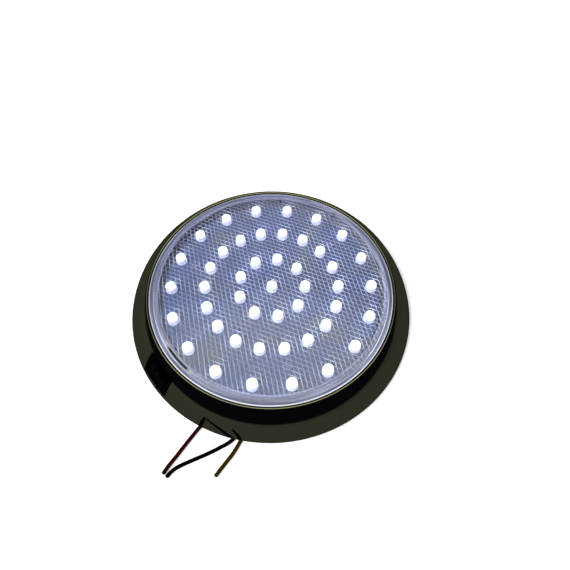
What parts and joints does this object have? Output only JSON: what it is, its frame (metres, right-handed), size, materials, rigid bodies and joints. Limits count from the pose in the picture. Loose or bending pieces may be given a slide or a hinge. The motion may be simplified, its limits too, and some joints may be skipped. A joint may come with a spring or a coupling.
{
  "type": "vehicle dome light",
  "caption": "Round vehicle ceiling light with a prismatic lens over rings of LEDs, a glossy dark bezel, a three-position rocker switch in its wall and three leads.",
  "frame": {"origin": "centre of the lamp on its mounting face, the plane that rests on the ceiling", "axes": "+Z out of the lens, the way the lamp shines; -Y towards the rocker switch, at the front"},
  "size_m": [0.1448, 0.1616, 0.0182],
  "materials": {
    "base_plastic": "moulded, satin",
    "gasket_foam": "closed-cell foam",
    "bezel_plastic": "mirror-bright black plating over plastic",
    "lens_plastic": "clear, prismatic inner face",
    "board_white": "white solder mask",
    "led_clear": "clear resin, lit",
    "resistor_body": "chip resistor",
    "diode_body": "moulded",
    "screw_steel": "zinc plated",
    "switch_body": "black, moulded",
    "rocker_plastic": "black, polished",
    "terminal_brass": "tinned tips",
    "grommet_rubber": "moulded",
    "red_pvc": "wire insulation",
    "black_pvc": "wire insulation",
    "yellow_pvc": "wire insulation"
  },
  "bodies": {
    "lamp": {"base_plate": "base_plastic", "foam_gasket": "gasket_foam", "bezel": "bezel_plastic", "lens": "lens_plastic", "led_board": "board_white", "centre_led": "led_clear", "inner_leds_1": "led_clear", "inner_leds_2": "led_clear", "inner_leds_3": "led_clear", "middle_leds_1": "led_clear", "middle_leds_2": "led_clear", "middle_leds_3": "led_clear", "middle_leds_4": "led_clear", "middle_leds_5": "led_clear", "middle_leds_6": "led_clear", "outer_leds_1": "led_clear", "outer_leds_2": "led_clear", "outer_leds_3": "led_clear", "outer_leds_4": "led_clear", "outer_leds_5": "led_clear", "outer_leds_6": "led_clear", "resistors": "resistor_body", "rectifier_diode": "diode_body", "board_screws": "screw_steel", "switch_housing": "switch_body", "terminal_on": "terminal_brass", "terminal_common": "terminal_brass", "terminal_door": "terminal_brass", "switch_jumper": "red_pvc", "lead_grommet": "grommet_rubber", "red_lead": "red_pvc", "black_lead": "black_pvc", "yellow_lead": "yellow_pvc"},
    "rocker": {"switch_rocker": "rocker_plastic"}
  },
  "joints": [
    {"name": "rocker_tilt", "type": "hinge", "parent": "lamp", "child": "rocker", "pos_m": [0, -0.06638, 0.0093], "axis": [0, 0.5878, 0.809], "range_deg": [0, 24]}
  ]
}
